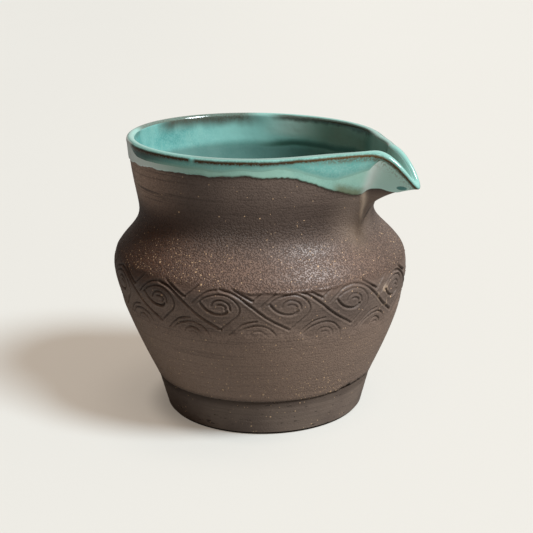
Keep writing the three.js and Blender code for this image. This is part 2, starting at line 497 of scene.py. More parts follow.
def seam_drop():
    """How the wall's lower edge is shifted: down on to the foot disc, or up in a crack below the beak."""
    angle = np.arange(wall_columns) * 2 * pi / wall_columns
    beside = (angle - crack_angle + pi) % (2 * pi) - pi
    opening = crack_opening * bell(beside, crack_spread) * (0.8 + 0.8 * wander(angle, waves=90, seed=5))
    return np.minimum(crack_most, seam_rest + np.maximum(0, opening) - seam_gap)


def crowding_at(rise):
    """Points crowd towards the beak from the neck up, and are even from the band down."""
    return beak_crowding * np.clip((rise - band_high) / (neck_height - band_high), 0, 1)


def wall_rings():
    rises = np.concatenate([
        wall_foot + seat_ease * seat_ease_steps,
        np.linspace(wall_foot + seat_ease, band_low, rows_below_band)[1:-1],
        np.linspace(band_low, band_high, round((band_high - band_low) / band_row)),
        np.linspace(band_high, lip_centre, rows_above_band)[1:],
    ])
    rings = []
    for rise in rises:
        fine = band_low - mm / 10 < rise < band_high + mm / 10
        near_foot = max(0, 1 - (rise - wall_foot) / seat_ease)
        ring = in_wall(rise, seat_roll * (1 - sqrt(1 - near_foot**2)))
        if near_foot:
            ring["height"] = ring["height"] + seam_drop() * near_foot
        columns = band_columns if fine else wall_columns
        rings.append({**ring, "count": columns, "crowding": crowding_at(rise)})
    for turn in lip_turns:
        rings.append({**on_lip(turn, 0), "count": wall_columns, "crowding": beak_crowding})
    for rise in inside_rises:
        ring = in_wall(rise, wall_thickness(rise))
        rings.append({**ring, "count": wall_columns, "crowding": crowding_at(rise)})
    rings[-1]["height"] = rings[-1]["height"] + seam_drop()
    return rings


throat_reach = 8.4 * mm
pull_sizes = {
    "Lip Height": lip_height,
    "Lip Wall": wall_at_lip,
    "Neck Height": neck_height,
    "Lean Back": 2.3 * mm,
    "Lean Aside": 1.6 * mm,
    "Lean Start": 25 * mm,
    "Collar Squeeze": 0.117,
    "Squeeze Start": 61 * mm,
    "Collar Rise": 1 * mm,
    "Collar Rise Angle": radians(45),
    "Throat Reach": throat_reach,
    "Throat Angle": radians(18.9),
    "Throat Start": 60 * mm,
    "Beak Reach": 11 * mm,
    "Beak Root": lip_radius + throat_reach,
    "Beak Start": 74 * mm,
    "Beak Droop": 11 * mm,
    "Beak Curl": 1.5,
    "Droop Taper": 1.75,
    "Beak Bluntness": 2.3,
    "Channel Half Width": 2.9 * mm,
    "Channel Floor Rise": 0.9,
    "Beak Thinning": 0.25,
    "Beak Thinning Angle": radians(12),
}


def shape_tree(name, inputs):
    """A geometry tree, its input fields, its output node, and its points' radius, angle and height."""
    sockets = {"Geometry": "Geometry", "Material": "Material", **inputs}
    tree, given, result = node_group(name, "GeometryNodeTree", sockets, {"Geometry": "Geometry"})
    place = add_node(tree, "GeometryNodeInputPosition").outputs[0]
    x, y, height = axes_of(place)
    radius = (x * x + y * y).math("SQRT")
    return tree, given, result, (radius, y.math("ARCTAN2", x), height)


def end_tree(tree, given, result, geometry):
    """Every tree ends the same way: real geometry with the piece's own material."""
    real = add_node(tree, "GeometryNodeRealizeInstances", {"Geometry": geometry})
    dressed = add_node(
        tree, "GeometryNodeSetMaterial", {"Geometry": real, "Material": given["Material"]}
    )
    feed(result.inputs["Geometry"], dressed)


def pull_the_beak():
    """The collar of a turned piece is leaned, squeezed and drawn out into the beak."""
    tree, given, result, (radius, angle, height) = shape_tree(
        "pull_the_beak", {name: "Float" for name in pull_sizes}
    )
    kept = add_node(tree, "GeometryNodeInputNamedAttribute", {"Name": "depth"}, data_type="FLOAT")
    depth = Field(kept.outputs[0])
    lip = given["Lip Height"]
    start = given["Beak Start"]
    thinned = depth * given["Beak Thinning"] * angle.bell(given["Beak Thinning Angle"])
    drawn = ((height - start) / (lip - start)).most(0.0) ** given["Beak Curl"]
    throat = height.ease(given["Throat Start"], lip) * angle.bell(given["Throat Angle"])
    half_width = given["Channel Half Width"] + given["Lip Wall"] - depth + thinned
    beside = (angle * given["Beak Root"] / half_width).math("ABSOLUTE")
    channel = (-(beside ** given["Beak Bluntness"])).math("EXPONENT")
    raised = depth * given["Channel Floor Rise"] * channel * drawn
    reach = radius + thinned * drawn + given["Throat Reach"] * throat + given["Beak Reach"] * channel * drawn
    squeezed = 1 - given["Collar Squeeze"] * height.ease(given["Squeeze Start"], lip)
    lean = height.ease(given["Lean Start"], lip)
    collar = height.ease(given["Neck Height"], lip) * angle.bell(given["Collar Rise Angle"])
    droop = given["Beak Droop"] * channel ** given["Droop Taper"] * drawn
    place = add_node(tree, "ShaderNodeCombineXYZ", {
        "X": reach * angle.math("COSINE") - given["Lean Back"] * lean,
        "Y": reach * angle.math("SINE") * squeezed - given["Lean Aside"] * lean,
        "Z": height + given["Collar Rise"] * collar + raised - droop,
    })
    moved = add_node(
        tree, "GeometryNodeSetPosition", {"Geometry": given["Geometry"], "Position": place}
    )
    end_tree(tree, given, result, moved)
    return tree


pull_tree = pull_the_beak()


def shaped(piece, tree, sizes, material):
    """Runs a geometry tree on a piece and keeps what comes out as its plain mesh."""
    modifier = piece.modifiers.new(tree.name, "NODES")
    modifier.node_group = tree
    values = {**sizes, "Material": material}
    for socket in tree.interface.items_tree:
        if socket.in_out == "INPUT" and socket.name in values:
            modifier[socket.identifier] = values[socket.name]
    graph = bpy.context.evaluated_depsgraph_get()
    mesh = bpy.data.meshes.new_from_object(piece.evaluated_get(graph))
    mesh.set_sharp_from_angle(angle=radians(70))
    piece.modifiers.remove(modifier)
    piece.data = mesh


# The scroll stamp, unrolled: millimetres along the belly and up from the middle of one spiral eye.
repeats = 14
repeat_length = 2 * pi * belly_radius / repeats
next_eye = repeat_length / mm
wide_strokes = [
    [(0.4, 5.7), (4.6, 4.5), (9.8, 0.7), (14.8, -3.6), (next_eye - 0.5, -8.0)],
    [(-6.4, 1.0), (-5.3, -0.5), (-3.4, -1.9), (-0.8, -2.6), (1.4, -2.3), (2.4, -1.4)],
]
fine_strokes = [
    [(-9.3, 0.4), (-6.4, 2.9), (-3.6, 4.8), (0.4, 5.7)],
    [(-7.3, 0.7), (-4.8, 2.6), (-2.3, 3.6), (0.3, 4.1), (3.0, 3.6), (5.2, 2.0), (6.4, -0.3), (5.9, -2.3),
     (3.0, -5.0), (-0.5, -8.0)],
    [(-2.8, 0.1), (-1.8, 1.5), (0.0, 2.2), (2.0, 1.8), (3.3, 0.5), (3.4, -1.0)],
    [(-0.7, 0.6), (0.9, 0.7), (2.0, -0.1), (1.7, -0.9)],
]


def stamp_lines(name, strokes):
    """Lines of the stamp as a flat curve, one smooth stroke through each list of points."""
    lines = bpy.data.curves.new(name, "CURVE")
    lines.dimensions = "3D"
    for stroke in strokes:
        spline = lines.splines.new("BEZIER")
        spline.bezier_points.add(len(stroke) - 1)
        spline.resolution_u = 10
        for point, (along, up) in zip(spline.bezier_points, stroke):
            point.co = (along * mm, up * mm, 0)
    return in_scene(name, lines)


stamp_sizes = {
    "Belly Radius": belly_radius,
    "Repeat Length": repeat_length,
    "Row Pitch": 10.3 * mm,
    "Eye Height": 49.5 * mm,
    "First Eye Angle": radians(-44.2),
    "Band Sag": 2.2 * mm,
    "Band Sag Angle": radians(8),
    "Band Sag Spread": radians(30),
    "Band Above": 6.3 * mm,
    "Fade Above": 1.3 * mm,
    "Smoothed Angle": radians(-43),
    "Smoothed Spread": radians(23),
    "Smoothed Drop": 1.7 * mm,
    "Smoothed Fade": 0.22 * mm,
    "Band Below": -9.6 * mm,
    "Fade Below": 3 * mm,
    "Band Recess": 0.4 * mm,
    "Light Press": 0.35,
    "Light Press Angle": radians(-32),
    "Light Press Spread": radians(42),
    "Wide Half Width": 0.56 * mm,
    "Wide Depth": 0.66 * mm,
    "Fine Half Width": 0.4 * mm,
    "Fine Depth": 0.42 * mm,
    "Burr Height": 0.19 * mm,
}


def roll_the_band():
    """The stamp is pressed into a turned wall: it repeats round the belly in three half-drop rows,
    of which the middle one takes whole, and the others fade out at the edges of the roller."""
    tree, given, result, (_, angle, height) = shape_tree("roll_the_band", {
        "Wide Strokes": "Object",
        "Fine Strokes": "Object",
        "Repeats": "Int",
        **{name: "Float" for name in stamp_sizes},
    })
    length = given["Repeat Length"]

    def starts(*rows):
        """The places where the stamp comes round again, in the given rows."""
        joined = add_node(tree, "GeometryNodeJoinGeometry")
        step = add_node(tree, "ShaderNodeCombineXYZ", {"X": length})
        for row in rows:
            back = length * (given["Repeats"] * 0.5 + 1 - row * 0.5)
            start = add_node(tree, "ShaderNodeCombineXYZ", {
                "X": given["First Eye Angle"] * given["Belly Radius"] - back,
                "Y": given["Row Pitch"] * row,
            })
            line = add_node(tree, "GeometryNodeMeshLine", {
                "Count": given["Repeats"] + 3, "Start Location": start, "Offset": step,
            })
            feed(joined.inputs[0], line)
        return joined

    sag = given["Band Sag"] * (angle - given["Band Sag Angle"]).bell(given["Band Sag Spread"])
    up = height - given["Eye Height"] + sag
    unrolled = add_node(tree, "ShaderNodeCombineXYZ", {"X": angle * given["Belly Radius"], "Y": up})
    place = add_node(tree, "GeometryNodeInputPosition").outputs[0]
    rough = noise(place, scale=160.0, detail=3.0) - 0.5
    edge = noise(place, scale=420.0) - 0.5

    def pressed_by(strokes, points, half_width):
        """How far in the strokes press the clay, and the burr that they raise beside them."""
        stamp = add_node(tree, "GeometryNodeObjectInfo", {"Object": given[strokes]})
        smooth = add_node(
            tree, "GeometryNodeCurveSetHandles", {"Curve": stamp.outputs["Geometry"]}, handle_type="AUTO"
        )
        copies = add_node(tree, "GeometryNodeInstanceOnPoints", {"Points": points, "Instance": smooth})
        laid = add_node(tree, "GeometryNodeRealizeInstances", {"Geometry": copies})
        lines = add_node(tree, "GeometryNodeCurveToMesh", {"Curve": laid})
        near = add_node(
            tree, "GeometryNodeProximity", {"Target": lines, "Sample Position": unrolled},
            target_element="EDGES",
        )
        away = Field(near.outputs["Distance"]) + edge * 0.12 * mm
        burr = (away - given[half_width] * 1.4).bell(given[half_width] * 0.5)
        return away.ease(given[half_width], given[half_width] * 0.2), burr

    wide, wide_burr = pressed_by("Wide Strokes", starts(0, 1), "Wide Half Width")
    fine, fine_burr = pressed_by("Fine Strokes", starts(-1, 0, 1), "Fine Half Width")
    ridge = wide_burr + fine_burr * 0.6
    smoothed = (angle - given["Smoothed Angle"]).bell(given["Smoothed Spread"]).ease(0.25, 0.7)
    top = up + rough * 1.4 * mm + edge * 0.7 * mm + smoothed * given["Smoothed Drop"] - given["Band Above"]
    fade = given["Fade Above"] + smoothed * (given["Smoothed Fade"] - given["Fade Above"])
    above = top.ease(fade, -fade)
    low = up + rough * 11 * mm
    below = low.ease(given["Band Below"] - given["Fade Below"], given["Band Below"] + given["Fade Below"])
    zone = above * below
    light = given["Light Press"] * (angle - given["Light Press Angle"]).bell(given["Light Press Spread"])
    pressure = zone * (1 + rough * 1.3 - light)
    groove = (wide * given["Wide Depth"]).most(fine * given["Fine Depth"])
    brow = (top - 0.4 * mm).bell(0.3 * mm) * smoothed * (1 + rough * 3) * given["Burr Height"]
    sunk = (groove - ridge * given["Burr Height"]) * pressure + zone * given["Band Recess"] - brow
    normal = add_node(tree, "GeometryNodeInputNormal")
    offset = add_node(tree, "ShaderNodeVectorMath", {0: normal, "Scale": -sunk}, operation="SCALE")
    marked = given["Geometry"]
    kept = {"pressed": zone, "groove": wide.most(fine * 0.8) * zone, "ridge": ridge * zone}
    for name, value in kept.items():
        marked = add_node(
            tree, "GeometryNodeStoreNamedAttribute",
            {"Geometry": marked, "Name": name, "Value": value}, data_type="FLOAT", domain="POINT",
        )
    moved = add_node(tree, "GeometryNodeSetPosition", {"Geometry": marked, "Offset": offset})
    end_tree(tree, given, result, moved)
    return tree


def attribute(tree, name):
    return Field(add_node(tree, "ShaderNodeAttribute", attribute_name=name).outputs["Fac"])


def between(turn, first, last, soft=6):
    """One over a stretch of the turn round the pot, in degrees, and nothing outside it."""
    rising = turn.ease(radians(first - soft), radians(first + soft))
    return rising * turn.ease(radians(last + soft), radians(last - soft))


def level(rise, start, full, last, end):
    """One over a stretch of height, in millimetres, with an eased start and end."""
    return rise.ease(start * mm, full * mm) * rise.ease(end * mm, last * mm)


def bare_clay():
    """Bare stoneware: brown with a grey bloom, coarse on the shoulder and smooth where it was rolled, with
    painted shade and painted light laid over it where marked.
    """
    made, tree, shader, place = new_material("bare_clay")
    x, y, rise = axes_of(place)
    turn = y.math("ARCTAN2", x)
    pressed = attribute(tree, "pressed")
    groove = attribute(tree, "groove")
    ridge = attribute(tree, "ridge").least(1.0)
    shoulder = level(rise, 51, 55, 64, 77) * (1 - pressed)
    low = rise.ease(42 * mm, 26 * mm)

    crowded = between(turn, -122, -72, 14) * 0.6 + between(turn, -25, 40, 14) * 0.2 + 0.08
    spilled = between(turn, -43, -18, 5) * rise.ease(23.5 * mm, 18 * mm)
    share = shoulder * rise.ease(70 * mm, 61 * mm) * crowded + low * 0.15 + spilled * 0.75
    share = share + 0.07 - pressed * 0.03
    specks, grain, mottle = effect(clay_group, {"Place": place, "Speck Share": share})
    specks = specks.most(speckled(place, 1.4 * mm, spilled * 0.6, smallest=0.2, spread=0.16))
    (streaks,) = effect(line_group, {"Place": place, "Line Height": 0.6 * mm})
    pits = grain.ease(0.42, 0.18)
    ragged = noise(measured(place, 2, 2, 5), detail=3.0)

    # Painted shade: the neck is painted darker than the rest of the clay.
    neck = level(rise, 60, 71, 76, 85)
    warm = level(rise, 50, 56, 60, 70)
    # Painted shade: the left shoulder and neck, away from the lamp, are painted dark red-brown.
    shaded_left_shoulder = between(turn, -150, -92, 22) * level(rise, 50, 57, 71, 81)
    # Painted light: the collar at the left is painted paler to lift its shade.
    painted_light_left_collar = between(turn, -150, -108, 22) * rise.ease(70 * mm, 80 * mm)
    dark_shoulder = between(turn, -4, 75, 14) * shoulder
    # Painted light: the belly and lower wall at the left are painted paler to lift their shade.
    painted_light_left_wall = between(turn, -150, -84, 14) * 0.2 + between(turn, -150, -40, 18) * 0.25
    thrown = between(turn, -150, -95, 15) * rise.ease(74 * mm, 80 * mm) * 0.35 + 0.35 - low * 0.15
    # Painted light: the throat under the beak is painted paler against the beak's cast shadow.
    throat = between(turn, -18, 8, 10) * level(rise, 63, 70, 79, 83)
    # Painted light: a soft pale spot where the beak's shadow falls on the shoulder.
    beak_shadow_lift = (turn + radians(5.5)).bell(radians(6)) * (rise - 66.5 * mm).bell(4 * mm)
    across = (y + 1.2 * mm).math("ABSOLUTE") - (rise - 79.1 * mm) * 0.53 - 5.4 * mm
    throat_edges = across.bell(0.9 * mm) * x.ease(0.0, 20 * mm)
    near_side = y.ease(1 * mm, -2 * mm)
    # A fold ridge where the beak was pulled: raised in the relief, and painted pale as a painted highlight.
    fold_ridge_and_highlight = throat_edges * rise.ease(69 * mm, 74 * mm) * near_side
    # Painted shade: a crease on the far side of the throat is painted near black.
    shaded_crease = throat_edges * level(rise, 66, 70, 73, 77) * (1 - near_side)
    scuffs = ragged.ease(0.56, 0.62) * between(turn, -6, 5, 2) * level(rise, 40, 43, 48, 51)
    # Painted shade: the wall's lower edge is painted darker where it meets the foot.
    shaded_seam = rise.ease(wall_foot + 1.5 * mm, wall_foot - 0.3 * mm)
    # Painted shade: the crack under the beak is painted near black along the wall's ragged lower edge.
    shaded_crack = (rise - wall_foot + (ragged - 0.5) * 4 * mm).ease(1.1 * mm, 0.4 * mm) * between(turn, -15, 9, 5)
    colour = painted(
        mixed(mottle.ease(0.3, 0.7), paint(0x65554C), paint(0x746257)),
        (neck * 0.7, 0x51423A),
        (warm, 0x735B4E),
        (shaded_left_shoulder * 0.75, 0x46260F),
        (painted_light_left_collar * 0.88, 0xB89680),
        (dark_shoulder * 0.3, 0x3F332C),
        # Painted light: the lower wall is painted lighter, for the light that the table throws up on it.
        (rise.ease(48 * mm, 30 * mm) * 0.8, 0x927969),
        (painted_light_left_wall * rise.ease(53 * mm, 46 * mm), 0xA88A76),
        (streaks.ease(0.5, 0.3) * (1 - shoulder) * thrown, 0x3C3029),
        (pits * (shoulder * 0.3 - low * 0.1 + 0.25), 0x2E2019),
        (throat * 0.5, 0xA18B7B),
        (beak_shadow_lift * 0.6, 0xB49C88),
        (fold_ridge_and_highlight * 0.85, 0xD2B9A2),
        (shaded_crease * 0.8, 0x1E1612),
        (pressed * 0.14, 0x463A33),
        # Painted highlight: the burrs beside the stamped strokes are painted lighter.
        (ridge * 0.15, 0x9C897B),
        # Painted shade: the stamped grooves are painted darker, more at the left where the light grazes.
        (groove * (between(turn, -150, -84, 10) * 0.35 + 0.35), 0x2B1F18),
        (scuffs * 0.7, 0xB59A80),
        (shaded_seam * 0.5, 0x2B211B),
        (shaded_crack * 0.9, 0x0E0A08),
        (specks * 0.82, 0xE2BA91),
    )
    coarse = pits * (shoulder * 0.1 + low * 0.01 + 0.04 - pressed * 0.02)
    relief = streaks * (1 - shoulder) * 0.07 - coarse + specks * 0.03 + fold_ridge_and_highlight * 0.25
    shader.inputs["Specular IOR Level"].default_value = 0.33
    dress(shader, colour, 0.46 - shoulder * 0.03 + pits * 0.08 - ridge * 0.12, relief)
    return made


wall_clay = bare_clay()
wide_stamp = stamp_lines("wide_strokes", wide_strokes)
fine_stamp = stamp_lines("fine_strokes", fine_strokes)
wall = turned_piece("body_wall_thrown", wall_rings(), loop=True)
stamps = {"Wide Strokes": wide_stamp, "Fine Strokes": fine_stamp, "Repeats": repeats}
shaped(wall, roll_the_band(), {**stamp_sizes, **stamps}, wall_clay)
shaped(wall, pull_tree, pull_sizes, wall_clay)
for stamp in (wide_stamp, fine_stamp):
    bpy.data.objects.remove(stamp)
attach(wall, "root")
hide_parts("body_wall")


# Liner glaze: the glossy turquoise coat poured into the pot and out again, over the floor and up the
# wall to the inside edge of the lip. It is deep where it is thick and breaks to brown on the edge.
coat_gap = 0.09 * mm
liner_coat = 0.45 * mm
liner_lip_end = radians(157)
liner_collar_start = 60 * mm
liner_columns = 480
liner_floor_rows = 6
liner_belly_rows = 26
liner_collar_rows = 44
liner_lip_rows = 4
liner_back_thinning = 12
liner_rises = np.concatenate([
    np.linspace(wall_foot, liner_collar_start, liner_belly_rows)[:-1],
    np.linspace(liner_collar_start, lip_centre, liner_collar_rows),
])
coat_crowding = 0.7


def flowing_glaze():
    """A glossy glaze: slow drifts of tone, runs down the wall, fine flecks, pinholes and a rippled
    surface, and the turn round the leaned and squeezed collar."""
    outputs = ("Drift", "Runs", "Flecks", "Pinholes", "Ripple", "Turn")
    tree, given, result = node_group(
        "flowing_glaze", "ShaderNodeTree", {"Place": "Vector"}, {name: "Float" for name in outputs}
    )
    place = given["Place"].socket
    x, y, _ = axes_of(place)
    along = x + pull_sizes["Lean Back"]
    across = (y + pull_sizes["Lean Aside"]) / (1 - pull_sizes["Collar Squeeze"])
    feed_all(result, {
        "Drift": noise(place, 1 / (9 * mm), detail=3.0),
        "Runs": noise(measured(place, 2.6, 2.6, 14), detail=3.0),
        "Flecks": noise(place, 1 / (0.55 * mm)),
        "Pinholes": speckled(place, 2.4 * mm, 0.2, smallest=0.05, spread=0.07),
        "Ripple": noise(place, 1 / (5 * mm)),
        "Turn": across.math("ARCTAN2", along),
    })
    return tree


glaze_group = flowing_glaze()


def sway(field, reach):
    """An uneven edge: a noise that runs to both sides of nothing, with its reach in millimetres."""
    return (field - 0.5) * (reach * mm)


def clouded(drift, flecks, share, first, second):
    """A glaze's own colour: it drifts slowly between two tones and is clouded with fine pale flecks."""
    tone = mixed(drift.ease(0.35, 0.65), paint(first), paint(second))
    return painted(tone, (flecks.ease(0.35, 0.7) * share, 0xA6CFC2))


def finish_glaze(shader, tone, drift, pinholes, ripple):
    """What all the glazes share: brown pinholes and a high gloss over a slightly uneven surface."""
    colour = painted(tone, (pinholes * 0.6, 0x54412C))
    dress(shader, colour, drift * 0.12 + 0.09, ripple * 0.12 - pinholes * 0.02)


def liner_glaze():
    """Turquoise, paler by the lip, darker below the collar where it pools and where shade is painted, with a
    dark ring that is partly painted shade, painted light on the back wall and inside the beak, and a broken
    brown edge.
    """
    made, tree, shader, place = new_material("liner_glaze")
    rise = axes_of(place)[2]
    over = attribute(tree, "over_lip")
    drift, runs, flecks, pinholes, ripple, turn = effect(glaze_group, {"Place": place})
    # A dark ring where the collar turns to the neck: partly pooled glaze, partly painted shade, strongest on
    # the right.
    ring = rise - turn.ease(1.3, 1.0) * 1.2 * mm + turn.ease(1.7, 2.0) * 0.7 * mm + sway(drift, 1.2)
    ring = level(ring, 82.4, 83.5, 83.9, 86)
    ring = ring * (between(turn, 52, 114, 9) * 0.65 + between(turn, 45, 150, 15) * 0.25)
    uneven = over + sway(drift, 2.5) + sway(runs, 1.5)
    line = uneven.ease(6.4 * mm, 4.8 * mm) * between(turn, 40, 110).most(between(turn, -160, -20) * 0.5)
    smudge = uneven.ease(9.5 * mm, 5 * mm) * between(turn, 120, 176, 9)
    brown = (line.most(smudge) * (flecks * 0.4 + 0.7)).least(1.0)
    tone = painted(
        clouded(drift, flecks, 0.2, 0x559590, 0x72ABA4),
        (runs.ease(0.5, 0.75) * 0.25, 0x93B9AC),
        # Darker below the collar: partly the glaze pooling, partly painted shade.
        (rise.ease(84.5 * mm, 82 * mm) * 0.8, 0x587A73),
        # Painted light: the back wall inside the mouth is painted paler, with a brighter patch, where light
        # falls on it.
        (between(turn, 80, 145, 20) * rise.ease(81 * mm, 86 * mm) * 0.85, 0x95CEC5),
        # Painted light: the inside wall by the beak is painted pale to lift its shade.
        (between(turn, -8, 38, 8) * rise.ease(76 * mm, 85 * mm) * 0.9, 0xC4ECE4),
        (between(turn, 86, 110, 10) * rise.ease(85 * mm, 88 * mm) * 0.6, 0xD8F2E8),
        (between(turn, 44, 84, 12) * rise.ease(78 * mm, 88 * mm) * 0.7, 0x96987F),
        (ring, 0x335647),
        (brown * 0.92, 0x45301D),
    )
    finish_glaze(shader, tone, drift, pinholes, ripple)
    return made


def liner_face(lift, thinning=1):
    """One face of the liner from the middle of its floor to the lip. Thinning leaves out rings of it."""
    lip_reach = wall_at_lip / 2 + lift
    side = [
        {**in_wall(rise, wall_thickness(rise) + lift), "over_lip": pi * lip_reach + lip_centre - rise}
        for rise in liner_rises
    ]
    lip = [
        {**on_lip(turn, lift), "over_lip": turn * lip_reach}
        for turn in np.linspace(pi, liner_lip_end, liner_lip_rows)[1:]
    ]
    floor = floor_rings(lift, liner_columns, liner_floor_rows)[::-1]
    upper = side[:-1:thinning] + side[-1:] + lip
    return [
        *({**ring, "depth": wall_at_seat, "over_lip": lip_centre} for ring in floor),
        *({**ring, "count": liner_columns, "crowding": coat_crowding} for ring in upper),
    ]


liner_rings = [*liner_face(coat_gap, liner_back_thinning), *liner_face(coat_gap + liner_coat)[::-1]]
liner = turned_piece("liner_glaze_coat", liner_rings)
shaped(liner, pull_tree, pull_sizes, liner_glaze())
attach(liner, "root")
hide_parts("liner_glaze")


# Rim glaze, first coat: the paler, milky coat that the rim was dipped in, over the lip and down the
# outside of the collar. It sags beside the beak, and its lower edge is a soft roll with a thin brown line.
first_coat = 0.28 * mm
first_roll = 0.8 * mm
first_hang = [
    (0, 85.9), (3.7, 83.4), (5.5, 82.4), (7.8, 81.3), (9, 80.1), (13, 80.3), (19, 81.9), (26, 83.6),
    (33, 85.5), (40, 87.5), (47, 88.0), (63, 88.4), (77, 88.3), (93, 88.4), (115, 87.7), (140, 86.7),
    (180, 87.2),
]
first_sway = 0.25 * mm
first_fray = 0.12 * mm
first_rows = 30
first_lip_rows = 18
bead_angle = radians(-1.9)
bead_width = radians(0.55)
bead_rise = 88.4 * mm
bead_length = 1.5 * mm
bead_lift = 0.3 * mm
bead_tint_middle = (55.5 * mm, -3.3 * mm, 83.2 * mm)
coat_columns = 720
coat_row_crowding = 1.25
coat_back_shares = (0.6, 0.3, 0)

even_turns = np.arange(coat_columns) * 2 * pi / coat_columns
coat_angles = (even_turns - coat_crowding * np.sin(even_turns) + pi) % (2 * pi) - pi


def hanging_edge(hang):
    """Heights of a coat's lower edge, through marks of degrees from the beak and millimetres of height."""
    degrees, heights = zip(*hang)
    return np.interp(np.abs(coat_angles), np.radians(degrees), np.array(heights) * mm)


def first_lift(rise, above):
    """The first coat's thickness: rolled at its lower edge, with one bead under the beak."""
    rolled = np.sqrt(1 - np.clip(1 - above / first_roll, 0, 0.999) ** 2)
    bead = bell(coat_angles - bead_angle, bead_width) * bell(rise - bead_rise, bead_length)
    return first_coat * rolled + bead_lift * bead


def coat_rings(edge, under, lift_at, lip_end, end_lift, rows, lip_rows):
    """A coat from its lower edge up the collar and round the lip, and back along its underside. Its
    thickness follows a rule up the collar, and runs out to a given lift at its end on the lip."""

    def collar(share, covered):
        rise = edge + (lip_centre - edge) * share
        lift = under + lift_at(rise, rise - edge) if covered else under
        return {**in_wall(rise, -lift), "above_edge": rise - edge, "over_lip": rise - lip_centre}

    def lip(turn, lift):
        over = turn * (wall_at_lip / 2 + lift)
        return {**on_lip(turn, lift), "above_edge": lip_centre - edge + over, "over_lip": over}

    top_lift = under + lift_at(lip_centre, lip_centre - edge)
    rings = [collar(share, True) for share in np.linspace(0, 1, rows) ** coat_row_crowding]
    for turn in np.linspace(0, lip_end, lip_rows)[1:]:
        rings.append(lip(turn, top_lift + (end_lift - top_lift) * ease(turn, lip_end / 2, lip_end)))
    rings += [lip(turn, under) for turn in (lip_end, lip_end / 2, 0)]
    rings += [collar(share, False) for share in coat_back_shares]
    return [{**ring, "count": coat_columns, "crowding": coat_crowding} for ring in rings]


def behind_beak(turn):
    """One round the back of the rim as far as its left side, and nothing elsewhere."""
    return between(turn.math("ABSOLUTE"), 122, 200) * (1 - between(turn, -162, -60))


def pale_rim_glaze():
    """Milky green-blue, whiter on the beak, with a painted pale reflection at the left, a pale strip on the
    beak's flank that is partly painted highlight, and brown where it thins and at its edges.
    """
    made, tree, shader, place = new_material("pale_rim_glaze")
    above = attribute(tree, "above_edge")
    over = attribute(tree, "over_lip")
    drift, runs, flecks, pinholes, ripple, turn = effect(glaze_group, {"Place": place})
    side = turn.math("ABSOLUTE")
    by_tip = side.ease(0.2, 0.12)
    # A pale strip down the beak's flank: partly milky glaze, partly painted highlight.
    milky_strip_and_highlight = (side - radians(8.3)).bell(radians(1.9)) * over.ease(1 * mm, -2 * mm) * (runs * 0.4 + 0.8)
    margin = (above + sway(drift, 1.6) + sway(flecks, 0.9)).ease(3.7 * mm, 0.9 * mm)
    edge_line = above.ease(0.5 * mm, 0.15 * mm) * (runs * 0.7 + 0.3) * side.ease(1.6, 0.9)
    rust = (over + 1.4 * mm).bell(1.6 * mm) * by_tip * flecks.ease(0.5, 0.62)
    break_line = (over + sway(drift, 0.8) + 0.3 * mm).bell(0.45 * mm) * by_tip * runs.ease(0.35, 0.7)
    inner = (over + sway(drift, 1.5)).ease(2.9 * mm, 3.7 * mm) * between(turn, 40, 110)
    inner = inner.most((over + sway(drift, 2)).ease(0.9 * mm, 2.4 * mm) * behind_beak(turn))
    brown = (break_line * 0.75).most(inner) * (flecks * 0.5 + 0.5)
    from_bead = add_node(tree, "ShaderNodeVectorMath", {0: place, 1: bead_tint_middle}, operation="SUBTRACT")
    beside = measured(from_bead.outputs[0], 1.8, 1.4, 0.8)
    away = add_node(tree, "ShaderNodeVectorMath", {0: beside}, operation="LENGTH")
    bead = Field(away.outputs["Value"]).ease(1.1, 0.8)
    tone = painted(
        clouded(drift, flecks, 0.4, 0x90BDAC, 0xA0CAB7),
        (side.ease(radians(8.5), radians(6.5)), 0xC8EDDF),
        # Painted reflection: the coat at the left is painted near white.
        (between(turn, -172, -98, 22) * 0.95, 0xE6EFE6),
        (milky_strip_and_highlight.least(1.0), 0xD6E4D9),
        (margin * between(side, 9.5, 22, 2.5) * 0.85, 0x74785A),
        (edge_line, 0x504A38),
        (over.ease(-1.2 * mm, 0.4 * mm), 0x8DBBB0),
        (over.ease(0.4 * mm, 1.2 * mm) * between(turn, -85, -12, 10) * 0.85, 0x869E95),
        (rust * 0.4, 0x8A6B48),
        (brown * 0.95, 0x45301D),
        (bead * 0.85, 0x3C8480),
    )
    finish_glaze(shader, tone, drift, pinholes, ripple)
    return made


first_edge = hanging_edge(first_hang)
first_edge += first_sway * wander(coat_angles, waves=40, seed=3)
first_edge += first_fray * wander(coat_angles, waves=170, seed=4)
first_end_lift = coat_gap + liner_coat
first_rings = coat_rings(
    first_edge, coat_gap, first_lift, liner_lip_end, first_end_lift, first_rows, first_lip_rows
)
first = turned_piece("rim_glaze_pale_coat", first_rings, loop=True)
shaped(first, pull_tree, pull_sizes, pale_rim_glaze())
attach(first, "root")
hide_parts("rim_glaze_first_coat")


# Rim glaze, second coat: the stronger turquoise dip over the first one. It ends higher up, stops at
# the root of the beak, and thins to a brown line where it breaks over the outer edge of the lip.
second_coat = 0.21 * mm
second_thinnest = 0.01 * mm
second_fade = 2.4 * mm
second_hang = [
    (0, 91.8), (7.3, 91.7), (9.5, 88.3), (16, 87.0), (22, 86.0), (27, 86.4), (33, 88.1), (38, 89.7),
    (47, 90.6), (63, 90.3), (77, 90.0), (93, 90.4), (112, 89.7), (121, 90.1), (127, 91.5), (150, 91.5),
    (180, 90.4),
]
second_sway = 0.3 * mm
second_lip_end = radians(50)
second_rows = 24
second_lip_rows = 10
second_gap = 0.02 * mm
second_under = coat_gap + first_coat + second_gap


def second_lift(rise, above):
    """The second coat's thickness: it fades out over the first one."""
    return second_coat * ease(above, 0, second_fade) + second_thinnest


